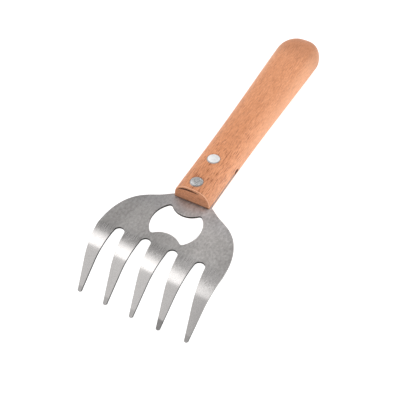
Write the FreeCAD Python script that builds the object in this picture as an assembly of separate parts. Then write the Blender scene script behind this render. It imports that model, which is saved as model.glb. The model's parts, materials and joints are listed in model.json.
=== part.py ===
import FreeCAD, Part
import math
import os

# A hand claw fork: one bent steel sheet with five tines, a bottle opener and a tang,
# held in the saw kerf of a wooden handle by two two-piece compression rivets.
#
# The shapes are drawn in the blade's frame: the sheet's flat top is z = 0, +X runs along the
# handle towards the tines, +Y across the blade, and the centre of the opener is x = y = 0.
# At the end every piece is turned and moved together, so that the fork lies on a table
# at z = 0 on its tine tips and the end of its handle.

V = FreeCAD.Vector

# ---- driving dimensions (mm, degrees) ----

# overall
TOTAL_LENGTH = 220.0        # tip of the middle tine to the end of the handle
BLADE_WIDTH = 75.0          # across the outer tines
SHEET = 1.2                 # steel thickness

# tines
TINE_COUNT = 5
TINE_PITCH = 16.07          # between centre lines
GAP_WIDTH = 6.1             # gap between two tines at their roots
TIP_WIDTH = 1.9             # tine width at the tip, before it is rounded
TIP_ROUND = 0.85            # radius of the two tip corners
BEND_START = 16.3           # x where the flat sheet starts to bend down
BEND_RADIUS = 26.0          # of the sheet's middle surface
BEND_ANGLE = 46.0
TINE_ROOT_X = 18.4          # x where the tines start to taper
TINE_STRAIGHT = (19.7, 19.5, 18.9)   # straight run after the bend: middle, next, outer tine
GAP_END_X = (15.0, 15.2)    # innermost point of the inner and the outer gaps
BEND_SECTIONS = 6

# shoulder: half outline from the outer tine round to the tang
SHOULDER = (
    (17.0, 37.5),
    (4.9, 36.0),
    (-4.9, 31.2),
    (-11.0, 23.9),
    (-14.8, 16.8),
    (-17.7, 12.6),
    (-21.0, 10.85),
)

# bottle opener
OPENER_RADIUS = 14.35       # the two side arcs lie on this circle
LIFT_TAB = (-18.1, 11.3)    # centre x and radius of the tab on the handle's side
TOP_LIP = (19.7, 12.3)      # centre x and radius of the bump on the tines' side
OPENER_CORNER = 1.7

# handle
HANDLE_FRONT = -16.7
DOME_LENGTH = 15.7          # rounded end
HANDLE_STATIONS = (         # half width and half height, evenly spaced from front to dome
    (10.75, 11.5),
    (10.85, 11.6),
    (11.1, 11.6),
    (11.75, 11.4),
    (12.65, 11.1),
    (13.6, 10.8),
    (14.4, 10.4),
)
DOME_TURNS = (0, 15, 30, 45, 60, 75, 86)   # sections of the dome, as angles from its widest one
CROWN_POWER = 2.8           # superellipse exponents of the cross-section's upper
BELLY_POWER = 1.7           # and lower half
DOME_POWER = 2.6            # how full the dome is in side view
ARRIS = 0.8                 # the front edge is eased by this much
SECTION_POINTS = 32

# kerf and tang
KERF_CLEARANCE = 0.1        # each side of the sheet
TANG_SIDE_END = -45.5       # where the tang's straight edges stop
TANG_REAR = -50.5
TANG_OVERSIZE = 1.0         # the tang is cut wider than the wood and ground flush with it
KERF_SIDE_END = -49.5
KERF_REAR = -56.0
KERF_HALF_WIDTH = 12.0      # where the round end of the kerf leaves the wood

# rivets
RIVET_X = (-23.0, -42.0)
HEAD_RADIUS = 3.65
HEAD_PROUD = 0.55           # height of the dome above the rim
HEAD_RIM_DEPTH = 0.25       # the rim lies this far below the crown of the wood
HEAD_THICKNESS = 1.3        # below the rim
SEAT_CLEARANCE = 0.1
SLEEVE_RADIUS = 2.5
POST_RADIUS = 1.75
WOOD_HOLE_RADIUS = 2.55
TANG_HOLE_RADIUS = 2.6
SLEEVE_GAP = 0.8            # sleeve end to the far head
POST_GAP = 0.8              # post end to the bottom of the sleeve

# resting pose: the fork is turned this much before it stands on tips and handle end
LYING_TILT = 3.36

MID = -SHEET / 2            # the sheet's middle surface, which is also the handle's axis
CUT_REACH = 10.0            # plan cutters reach this far above and below the flat sheet
FAR = 100.0                 # longer than any cut needs


# ---- blade ----

def sheet_station(run):
    """Place and downward angle of the middle surface `run` mm after the bend's start."""
    turn = min(run / BEND_RADIUS, math.radians(BEND_ANGLE))
    rest = max(run - BEND_RADIUS * math.radians(BEND_ANGLE), 0.0)
    x = BEND_START + BEND_RADIUS * math.sin(turn) + rest * math.cos(turn)
    z = MID - BEND_RADIUS * (1 - math.cos(turn)) - rest * math.sin(turn)
    return x, z, turn


def sheet_point(run, offset):
    """Point in the plane y = 0, `offset` mm above the sheet's middle surface."""
    x, z, turn = sheet_station(run)
    return V(x + offset * math.sin(turn), 0, z + offset * math.cos(turn))


def root_run():
    """Run along the sheet to the tines' roots."""
    return BEND_RADIUS * math.asin((TINE_ROOT_X - BEND_START) / BEND_RADIUS)


def tine_root(index):
    """Middle and half width of a tine at its root; the outer tines meet the outline."""
    inner = (abs(index) - 0.5) * TINE_PITCH + GAP_WIDTH / 2
    outer = (abs(index) + 0.5) * TINE_PITCH - GAP_WIDTH / 2
    if abs(index) == TINE_COUNT // 2:
        outer = BLADE_WIDTH / 2
    return math.copysign((inner + outer) / 2, index) if index else 0.0, (outer - inner) / 2


def tine_section(index, run, run_end):
    """Rectangle across a tine, square to the sheet, `run` mm along its middle line."""
    y_centre, root_half = tine_root(index)
    share = (run - root_run()) / (run_end - root_run())
    half = root_half + (TIP_WIDTH / 2 - root_half) * share
    low = sheet_point(run, -SHEET / 2) + V(0, y_centre, 0)
    high = sheet_point(run, SHEET / 2) + V(0, y_centre, 0)
    side = V(0, half, 0)
    return Part.makePolygon([low - side, low + side, high + side, high - side, low - side])


def tine(index):
    """One tine, from its root to its rounded tip."""
    arc_end = BEND_RADIUS * math.radians(BEND_ANGLE)
    run_end = arc_end + TINE_STRAIGHT[abs(index)]
    step = (arc_end - root_run()) / BEND_SECTIONS
    bend_runs = [root_run() + step * k for k in range(BEND_SECTIONS + 1)]
    curved = Part.makeLoft([tine_section(index, run, run_end) for run in bend_runs], True, False)
    straight = Part.makeLoft([tine_section(index, arc_end, run_end),
                              tine_section(index, run_end, run_end)], True, True)
    tip_x = sheet_station(run_end)[0]
    tip_edges = [e for e in straight.Edges
                 if e.Length < SHEET * 1.01
                 and e.CenterOfMass.x > tip_x - 0.1]
    straight = straight.makeFillet(TIP_ROUND, tip_edges)
    return curved.fuse(straight)


def bent_sheet():
    """The sheet before it is cut out: flat, then bent down as far as the tines' roots."""
    run = root_run()
    top = [sheet_point(r, SHEET / 2) for r in (0, run / 2, run)]
    low = [sheet_point(r, -SHEET / 2) for r in (run, run / 2, 0)]
    back = [V(-FAR, 0, -SHEET), V(-FAR, 0, 0)]
    edges = [Part.makeLine(back[1], top[0]), Part.Arc(*top).toShape(),
             Part.makeLine(top[2], low[0]), Part.Arc(*low).toShape(),
             Part.makeLine(low[2], back[0]), Part.makeLine(back[0], back[1])]
    profile = Part.Face(Part.Wire(Part.__sortEdges__(edges)))
    profile.translate(V(0, -FAR, 0))
    return profile.extrude(V(0, 2 * FAR, 0))


def plate_outline():
    """Closed outline of shoulders and tang, seen from above."""
    def shoulder(side):
        points = [V(x, side * y, -CUT_REACH) for x, y in SHOULDER]
        curve = Part.BSplineCurve()
        curve.interpolate(Points=points, InitialTangent=V(-1, 0, 0), FinalTangent=V(-1, 0, 0))
        return curve.toShape()

    shoulder_x, half = SHOULDER[0]
    neck_x, neck_y = SHOULDER[-1]
    tang_y = neck_y + TANG_OVERSIZE
    tang = [V(neck_x, neck_y, -CUT_REACH), V(TANG_SIDE_END, tang_y, -CUT_REACH),
            V(TANG_SIDE_END, -tang_y, -CUT_REACH), V(neck_x, -neck_y, -CUT_REACH)]
    tang_end = Part.Arc(tang[1], V(TANG_REAR, 0, -CUT_REACH), tang[2]).toShape()
    front = [V(shoulder_x, -half, -CUT_REACH), V(FAR, -half, -CUT_REACH),
             V(FAR, half, -CUT_REACH), V(shoulder_x, half, -CUT_REACH)]
    lines = [Part.makeLine(tang[0], tang[1]), tang_end, Part.makeLine(tang[2], tang[3])]
    lines += [Part.makeLine(a, b) for a, b in zip(front, front[1:])]
    return Part.Wire(Part.__sortEdges__(lines + [shoulder(1), shoulder(-1)]))


def gap_cutter(index):
    """Round-ended slot that opens the sheet between two tines."""
    rank = abs(index) - 1
    y_centre = math.copysign((rank + 0.5) * TINE_PITCH, index)
    radius = GAP_WIDTH / 2
    centre = V(GAP_END_X[rank] + radius, y_centre, -CUT_REACH)
    round_end = Part.makeCylinder(radius, 2 * CUT_REACH, centre)
    run = Part.makeBox(FAR, GAP_WIDTH, 2 * CUT_REACH, centre - V(0, radius, 0))
    return round_end.fuse(run)


def opener_cutter():
    """Crown-cap opener: a circle with a tab and a lip reaching into it, corners rounded."""
    base = V(0, 0, -CUT_REACH)
    cutter = Part.makeCylinder(OPENER_RADIUS, 2 * CUT_REACH, base)
    for centre_x, radius in (LIFT_TAB, TOP_LIP):
        cutter = cutter.cut(Part.makeCylinder(radius, 2 * CUT_REACH, base + V(centre_x, 0, 0)))
    corners = [e for e in cutter.Edges
               if isinstance(e.Curve, Part.Line)
               and abs(e.Vertexes[0].X - e.Vertexes[-1].X) < 0.01
               and abs(e.CenterOfMass.y) > 1.0]
    return cutter.makeFillet(OPENER_CORNER, corners)


def make_blade(wood):
    """Plate, tang and tines in one piece; `wood` is the shape that the tang is ground flush with."""
    plan = Part.Face(plate_outline()).extrude(V(0, 0, 2 * CUT_REACH))
    for index in (-2, -1, 1, 2):
        plan = plan.cut(gap_cutter(index))
    plan = plan.cut(opener_cutter())
    for x in RIVET_X:
        plan = plan.cut(Part.makeCylinder(TANG_HOLE_RADIUS, 2 * CUT_REACH, V(x, 0, -CUT_REACH)))
    plate = bent_sheet().common(plan)
    neck_x = SHOULDER[-1][0]
    behind = Part.makeBox(FAR, 2 * FAR, 2 * CUT_REACH, V(neck_x - FAR, -FAR, -CUT_REACH))
    blade = plate.cut(behind).fuse(plate.common(behind).common(wood))
    half_count = TINE_COUNT // 2
    for index in range(-half_count, half_count + 1):
        blade = blade.fuse(tine(index))
    return blade.removeSplitter()


# ---- handle ----

def section_wire(x, half_width, half_height):
    """Closed superellipse across the handle's axis."""
    points = []
    for k in range(SECTION_POINTS):
        angle = 2 * math.pi * k / SECTION_POINTS
        c, s = math.cos(angle), math.sin(angle)
        power = CROWN_POWER if s > 0 else BELLY_POWER
        y = half_width * math.copysign(abs(c) ** (2 / power), c)
        z = half_height * math.copysign(abs(s) ** (2 / power), s)
        points.append(V(x, y, MID + z))
    curve = Part.BSplineCurve()
    curve.interpolate(Points=points, PeriodicFlag=True)
    return Part.Wire(curve.toShape())


def station_step():
    """Distance between two handle stations, so that the whole fork has its total length."""
    run_end = BEND_RADIUS * math.radians(BEND_ANGLE) + TINE_STRAIGHT[0]
    body = TOTAL_LENGTH - sheet_point(run_end, SHEET / 2).x + HANDLE_FRONT - DOME_LENGTH
    return body / (len(HANDLE_STATIONS) - 1)


def handle_blank():
    """The wooden handle before its front is eased and it is slotted and drilled."""
    body = [section_wire(HANDLE_FRONT - k * station_step(), half_width, half_height)
            for k, (half_width, half_height) in enumerate(HANDLE_STATIONS)]
    dome_start = HANDLE_FRONT - (len(HANDLE_STATIONS) - 1) * station_step()
    last_width, last_height = HANDLE_STATIONS[-1]
    dome = []
    for turn in DOME_TURNS:
        along = math.sin(math.radians(turn))
        width = last_width * math.cos(math.radians(turn))
        height = last_height * (1 - along ** DOME_POWER) ** (1 / DOME_POWER)
        dome.append(section_wire(dome_start - DOME_LENGTH * along, width, height))
    return Part.makeLoft(body, True, False).fuse(Part.makeLoft(dome, True, False))


def kerf_cutter():
    """Saw kerf that takes the tang; its end is round, as the saw leaves it."""
    low = -SHEET - KERF_CLEARANCE
    side = [V(KERF_SIDE_END, KERF_HALF_WIDTH, low), V(KERF_SIDE_END, FAR, low), V(FAR, FAR, low),
            V(FAR, -FAR, low), V(KERF_SIDE_END, -FAR, low), V(KERF_SIDE_END, -KERF_HALF_WIDTH, low)]
    edges = [Part.makeLine(a, b) for a, b in zip(side, side[1:])]
    edges.append(Part.Arc(side[-1], V(KERF_REAR, 0, low), side[0]).toShape())
    wire = Part.Wire(Part.__sortEdges__(edges))
    return Part.Face(wire).extrude(V(0, 0, SHEET + 2 * KERF_CLEARANCE))


def crown_height(x):
    """Half height of the handle at x, between two stations."""
    share, index = math.modf((HANDLE_FRONT - x) / station_step())
    before = HANDLE_STATIONS[int(index)][1]
    after = HANDLE_STATIONS[int(index) + 1][1]
    return before + (after - before) * share


def head_seat(x):
    """Height of a rivet head's underside above the handle's axis."""
    return crown_height(x) - HEAD_RIM_DEPTH - HEAD_THICKNESS


def rivet_hole(x):
    """Hole and two head seats for one rivet."""
    hole = Part.makeCylinder(WOOD_HOLE_RADIUS, 2 * FAR, V(x, 0, -FAR))
    radius = HEAD_RADIUS + SEAT_CLEARANCE
    upper = Part.makeCylinder(radius, FAR, V(x, 0, MID + head_seat(x)))
    lower = Part.makeCylinder(radius, FAR, V(x, 0, MID - head_seat(x) - FAR))
    return hole.fuse([upper, lower])


def make_handle():
    blank = handle_blank()
    front = [e for e in blank.Edges if abs(e.BoundBox.XMin - HANDLE_FRONT) < 0.01]
    handle = blank.makeFillet(ARRIS, front).cut(kerf_cutter())
    for x in RIVET_X:
        handle = handle.cut(rivet_hole(x))
    return handle


# ---- rivets ----

def head_dome(rim):
    """Arc in the plane y = 0 from the middle of a head's dome to its rim."""
    half_way = V(HEAD_RADIUS / 2, 0, rim + HEAD_PROUD * 3 / 4)
    return Part.Arc(V(0, 0, rim + HEAD_PROUD), half_way, V(HEAD_RADIUS, 0, rim)).toShape()


def rivet_half(x, shank_radius, shank_end, bore_radius, bore_end):
    """A domed head on a shank, turned about its axis, with its head up.

    The ends are heights above the handle's axis; a solid post has no bore.
    """
    rim = head_seat(x) + HEAD_THICKNESS
    corners = [V(HEAD_RADIUS, 0, rim), V(HEAD_RADIUS, 0, head_seat(x)),
               V(shank_radius, 0, head_seat(x)), V(shank_radius, 0, shank_end)]
    if bore_radius:
        corners += [V(bore_radius, 0, shank_end), V(bore_radius, 0, bore_end)]
    corners += [V(0, 0, bore_end), V(0, 0, rim + HEAD_PROUD)]
    edges = [Part.makeLine(a, b) for a, b in zip(corners, corners[1:])]
    edges.append(head_dome(rim))
    face = Part.Face(Part.Wire(Part.__sortEdges__(edges)))
    half = face.revolve(V(0, 0, 0), V(0, 0, 1), 360)
    half.translate(V(x, 0, MID))
    return half


def make_rivet(x):
    """Post from above and sleeve from below, pressed together."""
    sleeve_bottom = head_seat(x) - POST_GAP
    post_end = POST_GAP - sleeve_bottom
    post = rivet_half(x, POST_RADIUS, post_end, 0, post_end)
    sleeve = rivet_half(x, SLEEVE_RADIUS, SLEEVE_GAP - head_seat(x), POST_RADIUS, sleeve_bottom)
    return post, sleeve.mirror(V(0, 0, MID), V(0, 0, 1))


# ---- assembly ----

def lay_on_table(shapes):
    """Turn and move every piece together: tips and handle end at z = 0, middle at x = y = 0."""
    for shape in shapes.values():
        shape.rotate(V(0, 0, 0), V(0, 1, 0), -LYING_TILT)
    boxes = [shape.optimalBoundingBox(False, False) for shape in shapes.values()]
    low_x = min(box.XMin for box in boxes)
    high_x = max(box.XMax for box in boxes)
    low_z = min(box.ZMin for box in boxes)
    for shape in shapes.values():
        shape.translate(V(-(low_x + high_x) / 2, 0, -low_z))


pieces = {"blade": make_blade(handle_blank()), "handle": make_handle()}
for name, x in zip(("front", "rear"), RIVET_X):
    pieces[name + "_rivet_post"], pieces[name + "_rivet_sleeve"] = make_rivet(x)
lay_on_table(pieces)

os.makedirs("parts", exist_ok=True)
for name, shape in pieces.items():
    box = shape.optimalBoundingBox(False, False)
    print(name, len(shape.Solids), "solid", shape.isValid(), round(shape.Volume, 1), "mm3",
          [round(v, 2) for v in (box.XMin, box.XMax, box.YMin, box.YMax, box.ZMin, box.ZMax)])
    shape.Solids[0].exportStep("parts/" + name + ".step")
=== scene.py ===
import json
import math

import bmesh
import bpy
from mathutils import Matrix, Vector
from mathutils.bvhtree import BVHTree


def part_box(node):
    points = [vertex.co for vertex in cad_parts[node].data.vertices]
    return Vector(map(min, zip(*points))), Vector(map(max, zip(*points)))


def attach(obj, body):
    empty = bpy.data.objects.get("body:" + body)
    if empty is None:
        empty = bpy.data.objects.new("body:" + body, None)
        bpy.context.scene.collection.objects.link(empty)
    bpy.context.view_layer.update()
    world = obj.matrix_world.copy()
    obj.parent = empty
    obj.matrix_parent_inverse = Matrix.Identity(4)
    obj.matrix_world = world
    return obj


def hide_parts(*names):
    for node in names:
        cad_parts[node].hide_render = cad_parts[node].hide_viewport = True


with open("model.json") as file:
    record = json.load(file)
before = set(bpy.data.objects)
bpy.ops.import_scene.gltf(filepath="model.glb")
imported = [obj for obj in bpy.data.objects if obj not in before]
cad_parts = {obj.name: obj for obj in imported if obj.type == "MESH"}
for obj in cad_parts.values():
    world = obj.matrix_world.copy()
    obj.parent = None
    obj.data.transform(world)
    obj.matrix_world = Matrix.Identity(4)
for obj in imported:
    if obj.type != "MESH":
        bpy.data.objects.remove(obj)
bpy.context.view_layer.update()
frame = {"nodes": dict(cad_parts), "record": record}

# A claw fork on a pale floor: bent steel blade, riveted wooden handle.
#
# The blade's frame has its origin at the middle of the bottle opener, x towards the tines, y across
# them and z square to the flat sheet. MM turns its millimetres into the scene's metres.

MM = 0.001

LIFTER = next(m for m in frame["record"]["mounts"] if m["name"] == "cap_lifter")
ORIGIN = Vector(LIFTER["pos_m"])
UP = Vector(LIFTER["axis"]).normalized()
ACROSS = Vector((0, 1, 0))
ALONG = ACROSS.cross(UP)
TILT = math.atan2(-UP.x, UP.z)

# Places are in the blade's frame in millimetres. A pair is where a change starts and where it ends.

# ---- meshes ----

BLADE_WELD = 0.04                   # vertices closer than this are joined
HANDLE_WELD = 0.002
EASED_EDGE = 0.14                   # width of the rounding on the blade's edges
EASED_ANGLE = math.radians(40)      # edges sharper than this are eased
FLAT_ANGLE = math.radians(0.3)      # faces that differ by less than this are joined
SMOOTH_ANGLE = math.radians(35)     # edges flatter than this are shaded smooth
WALL_REACH = 1.27                   # a little more than the sheet's thickness
BRUSHING_TILE = 100.0               # size of the UV map's square
FACE_SLACK = 0.01                   # vertices this near to the front-most one are on the front face
KERF_FLOOR, KERF_ROOF = -1.45, 0.25     # heights just below and above the saw kerf
KERF_REAR = -57.0                   # just behind its end
KERF_MOUTH = 0.5                    # and how far from the handle's front its faces begin
LEVEL_FACE = 0.9                    # least cosine between UP and the normal of a level face
UPRIGHT_FACE = 0.5                  # and between ALONG and the normal of the kerf's end

# ---- steel ----

SHINE_X = (10.0, 21.0)              # dull sheet to shiny bend
BURNISHED_X = (13.5, 20.5)          # mottled colour to the burnished one
BRIGHT_LINE_Y = 8.0                 # painted shade leaves the blade brightest along this line
SIDE_SHADE = (8.0, 38.0)            # and paints it darker with the distance from it
NECK_X = (2.0, -14.0)               # painted cold tint towards the neck, against the wood's warm reflection
NECK_PAINTED_LIGHT_X = (-7.0, -15.0)            # painted light that brightens the sheet in front of the handle
NECK_PAINTED_LIGHT_Y = (9.5, 15.0)
SHADE_PATCH_START_X = (3.0, 10.0)         # painted shade patch between the opener and the middle tine
SHADE_PATCH_END_X = (18.0, 22.0)
SHADE_PATCH_Y = (7.0, 20.0)
DIRTY_TINE_Y = 16.0                 # the tine with the dirtiest tip
DIRTY_TINE_SIDE = (4.0, 10.0)       # distance from that line
TIP_Z = (-20.4, -19.3)              # worn below, clean above
OUTLINE_Y = (33.5, 36.0)            # the sheared outline is lighter than the painted shade inside the gaps,
TANG_X = (-13.0, -16.0)             # and so is the tang's

STEEL_DARK = (0.42, 0.402, 0.391)
STEEL_LIGHT = (0.67, 0.649, 0.636)
STEEL_BURNISHED = (0.59, 0.57, 0.56)
STEEL_COLD = (0.95, 0.97, 1.0)
STEEL_PAINTED_LIGHT = (1.20, 1.22, 1.24)
STEEL_WORN = (0.05, 0.048, 0.045)
GAP_SHADE_DARK = (0.014, 0.0135, 0.013)
GAP_SHADE_LIGHT = (0.05, 0.048, 0.046)
SHEARED_DARK = (0.30, 0.29, 0.28)
SHEARED_LIGHT = (0.45, 0.435, 0.42)
BLACK = (0.0, 0.0, 0.0)

# ---- wood ----

PORE_X = (-95.0, -35.0)             # the pores show more towards the front
# painted light that makes the rounded sides paler
SIDE_LIGHT_Y = (8.0, 13.0)
# darker towards the front; painted shade over the domed rear end
FRONT_DARK_X = (-45.0, -20.0)
DOME_SHADE_X = (-136.0, -158.0)
KERF_SHADE_X, KERF_SHADE_Z = -48.3, 0.3     # middle of the painted shade around the kerf's end
KERF_SHADE_LENGTH, KERF_SHADE_HEIGHT = 2.2, 1.0     # half its length and height
KERF_SHADE_Y = (9.0, 10.5)
LIP_HIGHLIGHT_X = (-19.0, -18.0)              # the painted highlight is on the handle's rounded front edge
SEAM_SHADE_HEIGHT = 0.3                   # of the painted shade line above the sheet
SEAM_SHADE_FADE = (0.3, 1.1)

WOOD_DARK = (0.55, 0.21, 0.091)
WOOD_MIDDLE = (0.715, 0.304, 0.147)
WOOD_LIGHT = (0.87, 0.415, 0.228)
WOOD_PORE = (0.30, 0.088, 0.036)
WOOD_SIDE_LIGHT = (0.9, 0.5, 0.3)
WOOD_END_DARK_AND_SHADE = (0.22, 0.085, 0.04)
WOOD_KERF_SHADE = (0.035, 0.015, 0.01)
WOOD_LIP_HIGHLIGHT = (0.93, 0.56, 0.38)
WOOD_RING = (0.30, 0.11, 0.05)
WOOD_SEAM_SHADE = (0.06, 0.025, 0.015)
# kerf and crack walls: torn fibres, painted near-black for the shade inside them
SHADED_TORN_DARK = (0.05, 0.018, 0.01)
SHADED_TORN_LIGHT = (0.16, 0.06, 0.03)

# ---- crack under the handle's front edge ----

CRACK_STEPS = 24
CRACK_MIDDLE = -1.9
CRACK_HALF_LENGTH = 7.0
CRACK_THICKNESS = 1.45
CRACK_END = 0.02                    # half thickness at its two ends
CRACK_BELOW_CROWN = 0.8
CRACK_DEPTH = 1.4
CRACK_TAPER = 0.4                   # thickness at its bottom, as a share
CRACK_OVERCUT = 0.3                 # the cutter starts this far in front of the wood
CROWN_POWER = 2.8                   # superellipse exponent of the handle's crown

# ---- rivets ----

RIVET_SHADE_Y = (-2.5, 2.5)         # painted light side to painted dark side, from the rivet's middle
# painted shade at the head's rim
RIM_RADIUS = (3.2, 3.6)
RIM_SHADE = (0.08, 0.07, 0.06)

# ---- floor and light ----

FLOOR_RADIUS = 12.0                 # metres
FLOOR_GAP = 0.00005                 # metres below the fork
FLOOR_GLOW = 0.72

# A direction's x, y and z run from -1 to 1. Its angle over the fork is 0 degrees at the tines' side
# and 90 overhead.
TENT_TURN = (58, 104)               # angles where the tent's front part gives way to its back part
BACK_PART_Y = (-0.55, -0.10)
BACK_PART_LIGHT = (0.30, 0.80)      # strength where each of these changes starts and ends
FRONT_PART_Y = (-0.60, -0.15)
FRONT_PART_LIGHT = (1.28, 0.47)
LEFT_WALL_Y = (-0.62, -0.85)
RIGHT_WALL_Y = (0.3, 0.65)
CARD_LIGHT = 1.55
CARD_FRONT = (39.6, 40.8)           # angles of the card's front edge where y is 0,
CARD_FRONT_TURN = 50.0              # and how much they fall for each unit of y
CARD_BACK = (33.4, 57.8)
CARD_BACK_TURN = 115.0
CARD_SIDE_Y = (-0.22, -0.42)
SKIRTING_Z = (0.08, 0.28)
SKIRTING_LIGHT = 0.97


def place(x, y, z):
    """A point given in the blade's frame in millimetres, as a point of the scene."""
    return ORIGIN + (ALONG * x + ACROSS * y + UP * z) * MM


def in_blade_frame(point):
    """A point of the scene, in the blade's frame in millimetres."""
    offset = (Vector(point) - ORIGIN) / MM
    return Vector((offset.dot(ALONG), offset.dot(ACROSS), offset.dot(UP)))


# ---- node helpers ----

def feed(tree, node, inputs):
    """Sets a node's inputs, by name or number, to values or links them to output sockets."""
    for key, value in inputs.items():
        if isinstance(value, bpy.types.NodeSocket):
            tree.links.new(value, node.inputs[key])
        else:
            node.inputs[key].default_value = value


def add(tree, kind, inputs=None, **settings):
    """Adds a node with its settings and inputs."""
    node = tree.nodes.new(kind)
    for name, value in settings.items():
        setattr(node, name, value)
    feed(tree, node, inputs or {})
    return node


def maths(tree, operation, *values):
    """One maths node on numbers or sockets."""
    return add(tree, "ShaderNodeMath", dict(enumerate(values)), operation=operation).outputs[0]


def vector_maths(tree, operation, *values):
    """One vector maths node; DOT_PRODUCT and LENGTH give a number."""
    node = add(tree, "ShaderNodeVectorMath", dict(enumerate(values)), operation=operation)
    return node.outputs["Value" if operation in ("DOT_PRODUCT", "LENGTH") else "Vector"]


def product(tree, first, *others):
    """Product of numbers or sockets."""
    for other in others:
        first = maths(tree, "MULTIPLY", first, other)
    return first


def weighted(tree, *pairs):
    """Sum of (value, weight) pairs."""
    total = 0.0
    for value, weight in pairs:
        total = maths(tree, "MULTIPLY_ADD", value, weight, total)
    return total


def away(tree, value, centre=0.0):
    """How far a value is from centre."""
    return maths(tree, "ABSOLUTE", maths(tree, "SUBTRACT", value, centre))


def remap(tree, value, low, high, to_low, to_high, smooth=True):
    """Maps low..high to to_low..to_high and holds the ends."""
    node = add(tree, "ShaderNodeMapRange", {"Value": value, "From Min": low, "From Max": high,
                                            "To Min": to_low, "To Max": to_high})
    node.interpolation_type = "SMOOTHSTEP" if smooth else "LINEAR"
    return node.outputs["Result"]


def ramp(tree, fac, *stops):
    """Colour ramp; stops are (position, colour)."""
    node = add(tree, "ShaderNodeValToRGB", {"Fac": fac})
    elements = node.color_ramp.elements
    while len(elements) < len(stops):
        elements.new(0.5)
    for element, (position, colour) in zip(elements, stops):
        element.position = position
        element.color = (*colour, 1)
    return node.outputs["Color"]


def mix(tree, fac, first, second, blend="MIX"):
    """Mixes the colour of a socket with a second colour, which is a socket or three numbers."""
    if not isinstance(second, bpy.types.NodeSocket):
        second = (*second, 1)
    # inputs 6 and 7 and output 2 are the mix node's sockets for colours
    node = add(tree, "ShaderNodeMix", {0: fac, 6: first, 7: second},
               data_type="RGBA", blend_type=blend, clamp_result=False)
    return node.outputs[2]


def grey(level):
    """The three numbers of a grey."""
    return (level, level, level)


def blade_millimetres(tree, stretch=(1, 1, 1)):
    """Texture coordinates in the blade's frame in millimetres, divided by stretch."""
    coordinates = add(tree, "ShaderNodeTexCoord").outputs["Object"]
    scale = [MM * s for s in stretch]
    mapping = add(tree, "ShaderNodeMapping",
                  {"Vector": coordinates, "Location": ORIGIN, "Rotation": (0, -TILT, 0), "Scale": scale},
                  vector_type="TEXTURE")
    return mapping.outputs["Vector"]


def blade_xyz(tree):
    """The three coordinates in the blade's frame in millimetres."""
    return add(tree, "ShaderNodeSeparateXYZ", {"Vector": blade_millimetres(tree)}).outputs[:3]


def noise(tree, stretch, detail=2.0, roughness=0.5, distortion=0.0, seed=0.0):
    """Noise whose cells are about stretch millimetres in the blade's frame."""
    node = add(tree, "ShaderNodeTexNoise",
               {"Vector": blade_millimetres(tree, stretch), "W": seed, "Scale": 1.0, "Detail": detail,
                "Roughness": roughness, "Distortion": distortion}, noise_dimensions="4D")
    return node.outputs["Fac"]


def bump(tree, height, distance, strength, normal=None):
    """Bump from a height between 0 and 1, distance metres high."""
    inputs = {"Height": height, "Distance": distance, "Strength": strength}
    if normal:
        inputs["Normal"] = normal
    return add(tree, "ShaderNodeBump", inputs).outputs["Normal"]


def new_material(name):
    """Material with a Principled shader; returns the material, its tree and the shader."""
    material = bpy.data.materials.new(name)
    material.use_nodes = True
    tree = material.node_tree
    return material, tree, tree.nodes["Principled BSDF"]


# ---- steel ----

def sheet_colour(tree, x, mottle, streaks):
    """Mottled sheet that turns burnished over the bend."""
    clouds = noise(tree, (14.0, 9.0, 9.0), detail=1.0, seed=5.0)
    tone = weighted(tree, (mottle, 0.55), (streaks, 0.2), (clouds, 0.25))
    sheet = ramp(tree, tone, (0.4, STEEL_DARK), (0.6, STEEL_LIGHT))
    brushed = weighted(tree, (streaks, 0.6), (mottle, 0.4))
    burnished = ramp(tree, brushed, (0.36, STEEL_BURNISHED), (0.64, STEEL_LIGHT))
    return mix(tree, remap(tree, x, *BURNISHED_X, 0.0, 1.0), sheet, burnished)


def paint_sheet_light_and_shade(tree, colour, x, y, shine):
    """Painted shade at the sides, painted cold tint and light at the neck, painted shade before the tines.
    """
    # painted shade: the sheet darker away from its brightest line, less so over the bend
    sides = product(tree, remap(tree, away(tree, y, BRIGHT_LINE_Y), *SIDE_SHADE, 0.0, 0.28),
                    remap(tree, shine, 0.0, 1.0, 1.0, 0.55))
    colour = mix(tree, sides, colour, BLACK)
    # painted cold tint and painted light in front of the handle, against the wood's warm, dark reflection
    colour = mix(tree, remap(tree, x, *NECK_X, 0.0, 1.0), colour, STEEL_COLD, "MULTIPLY")
    beside = away(tree, y)
    painted_light = product(tree, remap(tree, beside, *NECK_PAINTED_LIGHT_Y, 1.0, 0.0), remap(tree, x, *NECK_PAINTED_LIGHT_X, 0.0, 1.0))
    colour = mix(tree, painted_light, colour, STEEL_PAINTED_LIGHT, "MULTIPLY")
    # painted shade patch before the tines
    shade_patch = product(tree, remap(tree, x, *SHADE_PATCH_START_X, 0.0, 1.0), remap(tree, x, *SHADE_PATCH_END_X, 1.0, 0.0),
                    remap(tree, beside, *SHADE_PATCH_Y, 0.2, 0.0))
    return mix(tree, shade_patch, colour, BLACK)


def wear_tips(tree, colour, y, z):
    """Tips that are dull and dark from use, one more than the others."""
    dirty_tine = remap(tree, away(tree, y, DIRTY_TINE_Y), *DIRTY_TINE_SIDE, 1.0, 0.0)
    ragged = noise(tree, (3.0, 3.0, 9.0), detail=2.0, seed=14.0)
    reach = weighted(tree, (ragged, 1.4), (dirty_tine, 1.3))
    worn = remap(tree, maths(tree, "SUBTRACT", z, reach), *TIP_Z, 1.0, 0.0)
    strength = remap(tree, dirty_tine, 0.0, 1.0, 0.22, 0.55)
    return mix(tree, product(tree, worn, strength), colour, STEEL_WORN)


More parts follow.
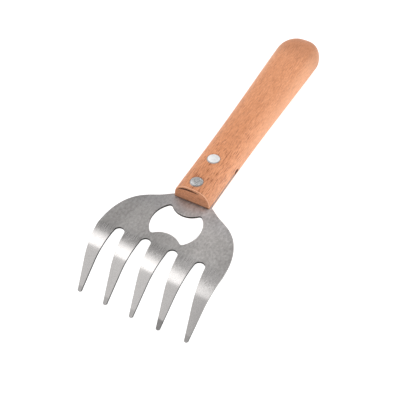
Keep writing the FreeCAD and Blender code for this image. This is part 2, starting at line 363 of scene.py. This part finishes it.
def steel_material():
    """Brushed stainless sheet: soft mottle and fine streaks along the fork, shinier where it was bent."""
    material, tree, shader = new_material("brushed_steel")
    x, y, z = blade_xyz(tree)
    mottle = noise(tree, (1.9, 1.3, 1.3), detail=3.0, roughness=0.7)
    streaks = noise(tree, (11.0, 0.35, 0.35), detail=2.0, roughness=0.6, seed=3.0)
    shine = remap(tree, x, *SHINE_X, 0.0, 1.0)
    colour = sheet_colour(tree, x, mottle, streaks)
    colour = paint_sheet_light_and_shade(tree, colour, x, y, shine)
    colour = wear_tips(tree, colour, y, z)
    rough = weighted(tree, (remap(tree, shine, 0.0, 1.0, 0.58, 0.18), 1.0),
                     (remap(tree, streaks, 0.35, 0.65, -0.05, 0.07), 1.0))
    tangent = add(tree, "ShaderNodeTangent", direction_type="UV_MAP", uv_map="brushing")
    relief = bump(tree, mottle, 6e-6, 0.5, bump(tree, streaks, 3e-6, 0.6))
    feed(tree, shader, {"Base Color": colour, "Roughness": rough, "Metallic": 1.0, "Anisotropic": 0.6,
                        "Tangent": tangent.outputs["Tangent"], "Normal": relief})
    return material


def cut_edge_material():
    """Sheared edge of the same sheet, rough; painted near-black shade inside the gaps, lighter on the
    outline.
    """
    material, tree, shader = new_material("steel_cut_edge")
    x, y, _ = blade_xyz(tree)
    shear = noise(tree, (0.25, 0.25, 1.5), detail=3.0, roughness=0.7, seed=8.0)
    # painted near-black shade on the walls inside the gaps between the tines
    gap_shade = ramp(tree, shear, (0.3, GAP_SHADE_DARK), (0.75, GAP_SHADE_LIGHT))
    sheared = ramp(tree, shear, (0.3, SHEARED_DARK), (0.75, SHEARED_LIGHT))
    outline = maths(tree, "MAXIMUM", remap(tree, away(tree, y), *OUTLINE_Y, 0.0, 1.0),
                    remap(tree, x, *TANG_X, 0.0, 0.6))
    feed(tree, shader, {"Base Color": mix(tree, outline, gap_shade, sheared),
                        "Roughness": remap(tree, shear, 0.3, 0.7, 0.38, 0.55),
                        "Metallic": 1.0, "Normal": bump(tree, shear, 1.5e-5, 0.5)})
    return material


# ---- wood ----

def grain(tree, x, y, fibres, pores):
    """Long soft bands, fibres and flecks with dark pores, and painted light on the rounded sides."""
    bands = noise(tree, (60.0, 4.5, 4.5), detail=2.0, distortion=0.5, seed=1.0)
    flecks = noise(tree, (2.2, 0.9, 0.9), detail=3.0, roughness=0.75, seed=4.0)
    tone = weighted(tree, (bands, 0.15), (fibres, 0.45), (flecks, 0.4))
    colour = ramp(tree, tone, (0.36, WOOD_DARK), (0.5, WOOD_MIDDLE), (0.64, WOOD_LIGHT))
    shown = product(tree, pores, remap(tree, x, *PORE_X, 0.4, 1.0))
    colour = mix(tree, shown, colour, WOOD_PORE)
    # painted light: the rounded sides paler
    return mix(tree, remap(tree, away(tree, y), *SIDE_LIGHT_Y, 0.0, 0.3), colour, WOOD_SIDE_LIGHT)


def darken_ends(tree, colour, x, facing):
    """Darker towards the front, painted shade over the domed end, and oil and dirt taken up by the end
    grain.
    """
    # darker towards the front, and painted shade over the domed end
    ends = maths(tree, "MAXIMUM", remap(tree, x, *FRONT_DARK_X, 0.0, 0.15),
                 remap(tree, x, *DOME_SHADE_X, 0.0, 0.3))
    end_grain = remap(tree, away(tree, facing), 0.3, 0.95, 0.0, 0.21)
    return mix(tree, maths(tree, "MAXIMUM", ends, end_grain), colour, WOOD_END_DARK_AND_SHADE)


def shade_kerf_end(tree, colour, x, y, z):
    """Painted shade on the wood around the open end of the saw kerf, on both sides of the handle."""
    from_end = add(tree, "ShaderNodeCombineXYZ", {
        "X": maths(tree, "DIVIDE", maths(tree, "SUBTRACT", x, KERF_SHADE_X), KERF_SHADE_LENGTH),
        "Z": maths(tree, "DIVIDE", maths(tree, "SUBTRACT", z, KERF_SHADE_Z), KERF_SHADE_HEIGHT)}).outputs[0]
    near = remap(tree, vector_maths(tree, "LENGTH", from_end), 0.55, 1.05, 0.92, 0.0)
    on_side = remap(tree, away(tree, y), *KERF_SHADE_Y, 0.0, 1.0)
    return mix(tree, product(tree, near, on_side), colour, WOOD_KERF_SHADE)


def finish_front(tree, colour, x, z, facing):
    """A painted highlight on the rounded front edge, growth rings on the front face and painted shade above
    the steel.
    """
    # painted highlight on the rounded front edge
    lip_highlight = product(tree, remap(tree, facing, 0.2, 0.4, 0.0, 0.6), remap(tree, facing, 0.6, 0.85, 1.0, 0.0),
                  remap(tree, x, *LIP_HIGHLIGHT_X, 0.0, 1.0))
    colour = mix(tree, lip_highlight, colour, WOOD_LIP_HIGHLIGHT)
    front = remap(tree, facing, 0.6, 0.9, 0.0, 1.0)
    growth = noise(tree, (60.0, 6.0, 0.9), detail=2.0, distortion=0.6, seed=7.0)
    rings = remap(tree, growth, 0.38, 0.62, 0.0, 0.32)
    colour = mix(tree, product(tree, front, rings), colour, WOOD_RING)
    # painted shade where the front face meets the steel
    seam_shade = remap(tree, away(tree, z, SEAM_SHADE_HEIGHT), *SEAM_SHADE_FADE, 0.75, 0.0)
    return mix(tree, product(tree, front, seam_shade), colour, WOOD_SEAM_SHADE)


def wood_material():
    """Oiled hardwood with fine fibres and short dark pores."""
    material, tree, shader = new_material("handle_wood")
    x, y, z = blade_xyz(tree)
    normal = add(tree, "ShaderNodeNewGeometry").outputs["Normal"]
    facing = vector_maths(tree, "DOT_PRODUCT", normal, ALONG)
    fibres = noise(tree, (5.0, 0.5, 0.5), detail=4.0, roughness=0.7, seed=2.0)
    vessels = noise(tree, (5.0, 0.42, 0.42), detail=2.0, roughness=0.55, distortion=0.25, seed=6.0)
    pores = remap(tree, vessels, 0.51, 0.68, 0.0, 1.0)
    colour = grain(tree, x, y, fibres, pores)
    colour = darken_ends(tree, colour, x, facing)
    colour = shade_kerf_end(tree, colour, x, y, z)
    colour = finish_front(tree, colour, x, z, facing)
    depth = maths(tree, "SUBTRACT", 1.0, pores)
    feed(tree, shader, {"Base Color": colour, "Roughness": remap(tree, fibres, 0.3, 0.7, 0.42, 0.56),
                        "Specular IOR Level": 0.35,
                        "Normal": bump(tree, depth, 6e-5, 0.7, bump(tree, fibres, 3e-5, 0.6))})
    return material


def shaded_torn_material():
    """Torn fibres painted near-black for the shade inside the saw kerf and the crack under the front edge.
    """
    material, tree, shader = new_material("shaded_torn_wood")
    fibres = noise(tree, (2.0, 0.3, 0.3), detail=3.0, seed=12.0)
    feed(tree, shader, {"Base Color": ramp(tree, fibres, (0.3, SHADED_TORN_DARK), (0.7, SHADED_TORN_LIGHT)),
                        "Roughness": 0.8})
    return material


# ---- rivets ----

def rivet_material(name, node, dark, light, rough, metallic):
    """Aluminium head with scuffs and faint turned rings; painted shade at its rim, painted light on one
    side.
    """
    material, tree, shader = new_material(name)
    low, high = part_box(node)
    centre = in_blade_frame((Vector(low) + Vector(high)) / 2)
    offset = vector_maths(tree, "SUBTRACT", blade_millimetres(tree), (centre.x, centre.y, 0.0))
    radius = vector_maths(tree, "LENGTH", vector_maths(tree, "MULTIPLY", offset, (1.0, 1.0, 0.0)))
    sideways = add(tree, "ShaderNodeSeparateXYZ", {"Vector": offset}).outputs[1]
    # painted light: one side of the head lighter than the other
    painted_lit_side = remap(tree, sideways, *RIVET_SHADE_Y, 1.0, 0.0)
    scuffs = noise(tree, (2.2, 1.7, 1.7), detail=3.0, roughness=0.55, distortion=2.0, seed=9.0)
    turned = maths(tree, "SINE", weighted(tree, (radius, 2.5), (scuffs, 3.0)))
    tone = weighted(tree, (scuffs, 0.6), (turned, 0.02), (painted_lit_side, 0.2), (0.13, 1.0))
    colour = ramp(tree, tone, (0.4, grey(dark)), (0.62, grey(light)))
    # painted shade at the head's rim
    colour = mix(tree, remap(tree, radius, *RIM_RADIUS, 0.0, 0.55), colour, RIM_SHADE)
    feed(tree, shader, {"Base Color": colour, "Metallic": metallic,
                        "Roughness": remap(tree, tone, 0.3, 0.7, rough, rough + 0.12),
                        "Normal": bump(tree, tone, 8e-5, 0.8)})
    return material


# ---- studio ----

def floor_material():
    """Pale matt floor, lit from within so that the shadow on it stays faint."""
    material, tree, shader = new_material("pale_floor")
    speckle = noise(tree, (3.0, 3.0, 3.0), detail=2.0, seed=11.0)
    feed(tree, shader, {"Base Color": ramp(tree, speckle, (0.0, grey(0.50)), (1.0, grey(0.54))),
                        "Roughness": 0.9, "Emission Color": (1, 1, 1, 1),
                        "Emission Strength": FLOOR_GLOW})
    return material


def make_floor():
    """A wide disc that the fork lies on."""
    mesh = bpy.data.meshes.new("floor")
    build = bmesh.new()
    bmesh.ops.create_circle(build, cap_ends=True, radius=FLOOR_RADIUS, segments=96)
    build.to_mesh(mesh)
    build.free()
    floor = bpy.data.objects.new("floor", mesh)
    bpy.context.scene.collection.objects.link(floor)
    floor.location.z = -FLOOR_GAP
    mesh.materials.append(floor_material())


def card_light(tree, over, y):
    """One large card over the tines: a crisp front edge, slightly turned, and a soft back edge."""
    front = weighted(tree, (over, 1.0), (y, CARD_FRONT_TURN))
    back = weighted(tree, (over, 1.0), (y, CARD_BACK_TURN))
    return product(tree, remap(tree, front, *CARD_FRONT, 0.0, 1.0), remap(tree, back, *CARD_BACK, 1.0, 0.0),
                   remap(tree, y, *CARD_SIDE_Y, 0.2, 1.0))


def make_studio():
    """Light tent: bright walls at both sides, a darker roof behind, and a card over the tines."""
    world = bpy.data.worlds.new("studio")
    bpy.context.scene.world = world
    world.use_nodes = True
    tree = world.node_tree
    direction = add(tree, "ShaderNodeTexCoord").outputs["Generated"]
    x, y, z = add(tree, "ShaderNodeSeparateXYZ", {"Vector": direction}).outputs[:3]
    over = product(tree, maths(tree, "ARCTAN2", z, x), 180 / math.pi)
    back_part = remap(tree, y, *BACK_PART_Y, *BACK_PART_LIGHT, smooth=False)
    front_part = remap(tree, y, *FRONT_PART_Y, *FRONT_PART_LIGHT, smooth=False)
    to_back = remap(tree, over, *TENT_TURN, 0.0, 1.0)
    to_front = maths(tree, "SUBTRACT", 1.0, to_back)
    tent = weighted(tree, (product(tree, back_part, to_back), 1.0),
                    (product(tree, front_part, to_front), 1.0))
    walls = weighted(tree, (remap(tree, y, *LEFT_WALL_Y, 0.0, 0.35), 1.0),
                     (remap(tree, y, *RIGHT_WALL_Y, 0.0, 1.0), 1.0))
    light = weighted(tree, (tent, 1.0), (walls, 1.0), (card_light(tree, over, y), CARD_LIGHT))
    # a pale wall all around at the floor's level
    skirting = remap(tree, z, *SKIRTING_Z, 1.0, 0.0)
    above = maths(tree, "SUBTRACT", 1.0, skirting)
    strength = weighted(tree, (product(tree, light, above), 1.0), (skirting, SKIRTING_LIGHT))
    feed(tree, tree.nodes["Background"], {"Color": (1, 1, 1, 1), "Strength": strength})


def make_camera():
    """Looks at a target in the blade's frame from an azimuth, elevation and distance."""
    azimuth = math.radians(30.18)
    elevation = math.radians(49.86)
    roll = math.radians(-2.02)
    distance = 375.5
    target = (-17.56, 9.64, 0.0)
    back = (ALONG * (math.cos(azimuth) * math.cos(elevation))
            + ACROSS * (math.sin(azimuth) * math.cos(elevation)) + UP * math.sin(elevation))
    right = ACROSS * math.cos(azimuth) - ALONG * math.sin(azimuth)
    up = back.cross(right)
    turned_right = right * math.cos(roll) + up * math.sin(roll)
    turned_up = up * math.cos(roll) - right * math.sin(roll)
    data = bpy.data.cameras.new("camera")
    data.sensor_width = 36.0
    data.lens = 60.58
    data.clip_start = 0.01
    camera = bpy.data.objects.new("camera", data)
    bpy.context.scene.collection.objects.link(camera)
    camera.matrix_world = Matrix((turned_right, turned_up, back)).transposed().to_4x4()
    camera.location = place(*target) + back * distance * MM
    bpy.context.scene.camera = camera


# ---- pieces ----

def copy_of(node, name):
    """A new piece with the node's mesh and no materials."""
    mesh = frame["nodes"][node].data.copy()
    mesh.name = name
    mesh.materials.clear()
    piece = bpy.data.objects.new(name, mesh)
    bpy.context.scene.collection.objects.link(piece)
    return piece


def apply_modifiers(piece):
    """Makes the modifiers' result the piece's own mesh."""
    graph = bpy.context.evaluated_depsgraph_get()
    mesh = bpy.data.meshes.new_from_object(piece.evaluated_get(graph))
    piece.modifiers.clear()
    piece.data = mesh


def smooth(piece):
    """Smooth shading that keeps sharp edges, and keeps flat faces flat beside rounded ones."""
    piece.data.shade_smooth()
    piece.data.set_sharp_from_angle(angle=SMOOTH_ANGLE)
    weigh = piece.modifiers.new("flat_faces", "WEIGHTED_NORMAL")
    weigh.keep_sharp = True
    apply_modifiers(piece)


def finish_piece(piece, node):
    """Shades the piece and puts it in the node's place."""
    smooth(piece)
    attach(piece, "root")
    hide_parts(node)


def ease_edges(piece):
    """Welds the mesh, joins flat triangles and rounds its sharp edges."""
    build = bmesh.new()
    build.from_mesh(piece.data)
    bmesh.ops.remove_doubles(build, verts=build.verts, dist=BLADE_WELD * MM)
    bmesh.ops.dissolve_limit(build, angle_limit=FLAT_ANGLE, verts=build.verts, edges=build.edges)
    edges = [e for e in build.edges if e.is_manifold and e.calc_face_angle() > EASED_ANGLE]
    bmesh.ops.bevel(build, geom=edges, offset=EASED_EDGE * MM, offset_type="OFFSET", segments=2,
                    profile=0.5, affect="EDGES", clamp_overlap=True)
    build.to_mesh(piece.data)
    build.free()


def mark_walls(mesh, reach):
    """Gives the second material to every cut edge: faces with more than reach of metal behind them."""
    mesh.calc_loop_triangles()
    corners = [tuple(triangle.vertices) for triangle in mesh.loop_triangles]
    solid = BVHTree.FromPolygons([v.co for v in mesh.vertices], corners)
    largest = {}
    for triangle in mesh.loop_triangles:
        known = largest.get(triangle.polygon_index)
        if known is None or triangle.area > known.area:
            largest[triangle.polygon_index] = triangle
    # a ray starts just under the surface
    skin = reach * 0.01
    for index, triangle in largest.items():
        centre = sum((mesh.vertices[k].co for k in triangle.vertices), Vector()) / 3
        inwards = -triangle.normal
        hit = solid.ray_cast(centre + inwards * skin, inwards, reach)[0]
        mesh.polygons[index].material_index = int(hit is None)


def add_brushing(mesh):
    """UV map that runs along the blade, which the brushed steel's highlights follow."""
    layer = mesh.uv_layers.new(name="brushing")
    for loop in mesh.loops:
        at = in_blade_frame(mesh.vertices[loop.vertex_index].co)
        layer.data[loop.index].uv = (at.y / BRUSHING_TILE, at.x / BRUSHING_TILE)


def make_blade():
    """The blade with eased edges; its cut edges have a material of their own."""
    piece = copy_of("blade", "blade_sheet")
    ease_edges(piece)
    piece.data.materials.append(steel_material())
    piece.data.materials.append(cut_edge_material())
    add_brushing(piece.data)
    mark_walls(piece.data, WALL_REACH * MM)
    finish_piece(piece, "blade")


def crack_ring(front, width, height, share):
    """Section across the crack, share of its half length from its middle."""
    y = CRACK_MIDDLE + CRACK_HALF_LENGTH * share
    crown = height * (1 - abs(y / width) ** CROWN_POWER) ** (1 / CROWN_POWER)
    middle = crown - CRACK_BELOW_CROWN
    mouth = CRACK_THICKNESS / 2 * (1 - share ** 2) + CRACK_END
    bottom = mouth * CRACK_TAPER
    outer_x = front + CRACK_OVERCUT
    inner_x = front - CRACK_DEPTH
    return [place(outer_x, y, middle - mouth), place(outer_x, y, middle + mouth),
            place(inner_x, y, middle + bottom), place(inner_x, y, middle - bottom)]


def crack_cutter(front, width, height, material):
    """Thin crescent that follows the crown just under the handle's front edge."""
    mesh = bpy.data.meshes.new("crack")
    mesh.materials.append(material)
    build = bmesh.new()
    rings = []
    for k in range(CRACK_STEPS + 1):
        corners = crack_ring(front, width, height, 2 * k / CRACK_STEPS - 1)
        rings.append([build.verts.new(corner) for corner in corners])
    for first, second in zip(rings, rings[1:]):
        for k in range(4):
            build.faces.new((first[k], first[(k + 1) % 4], second[(k + 1) % 4], second[k]))
    build.faces.new(rings[0])
    build.faces.new(rings[-1])
    bmesh.ops.recalc_face_normals(build, faces=build.faces)
    build.to_mesh(mesh)
    build.free()
    return bpy.data.objects.new("crack", mesh)


def weld(mesh):
    """Joins vertices that lie in the same place."""
    build = bmesh.new()
    build.from_mesh(mesh)
    bmesh.ops.remove_doubles(build, verts=build.verts, dist=HANDLE_WELD * MM)
    build.to_mesh(mesh)
    build.free()


def mark_kerf(mesh, points, front):
    """Gives the second material to the faces of the saw kerf: level ones, and its upright end."""
    for polygon in mesh.polygons:
        between = all(KERF_FLOOR < points[k].z < KERF_ROOF for k in polygon.vertices)
        level = abs(polygon.normal.dot(UP)) > LEVEL_FACE
        upright = abs(polygon.normal.dot(ALONG)) > UPRIGHT_FACE
        inside = KERF_REAR < in_blade_frame(polygon.center).x < front - KERF_MOUTH
        polygon.material_index = int(between and inside and (level or upright))


def cut_crack(piece, points, front, material):
    """Cuts the crack into the front face; material is what its walls get."""
    face = [point for point in points if point.x > front - FACE_SLACK]
    cutter = crack_cutter(front, max(p.y for p in face), max(p.z for p in face), material)
    bpy.context.scene.collection.objects.link(cutter)
    cut = piece.modifiers.new("crack", "BOOLEAN")
    cut.operation = "DIFFERENCE"
    cut.solver = "EXACT"
    cut.object = cutter
    cut.material_mode = "TRANSFER"
    apply_modifiers(piece)
    bpy.data.objects.remove(cutter)


def make_handle():
    """The handle with painted shade on its kerf walls and the crack under its front edge."""
    piece = copy_of("handle", "handle_body")
    weld(piece.data)
    shaded_torn = shaded_torn_material()
    piece.data.materials.append(wood_material())
    piece.data.materials.append(shaded_torn)
    points = [in_blade_frame(v.co) for v in piece.data.vertices]
    front = max(point.x for point in points)
    mark_kerf(piece.data, points, front)
    cut_crack(piece, points, front, shaded_torn)
    finish_piece(piece, "handle")


def dress_rivets(name, material):
    """Gives both halves of one rivet their material."""
    for half in ("post", "sleeve"):
        mesh = frame["nodes"][name + "_" + half].data
        mesh.materials.clear()
        mesh.materials.append(material)


bpy.context.scene.view_settings.view_transform = "Standard"
make_camera()
make_studio()
make_floor()
make_blade()
make_handle()
# the two rivets are alike: the front one gets a darker copy and the rear one a brighter, less metallic
# copy, painting how each catches the light
dress_rivets("front_rivet", rivet_material("rivet_shaded_copy", "front_rivet_post", dark=0.42, light=0.86,
                                           rough=0.2, metallic=1.0))
dress_rivets("rear_rivet", rivet_material("rivet_lit_copy", "rear_rivet_post", dark=0.80, light=0.97,
                                          rough=0.35, metallic=0.45))
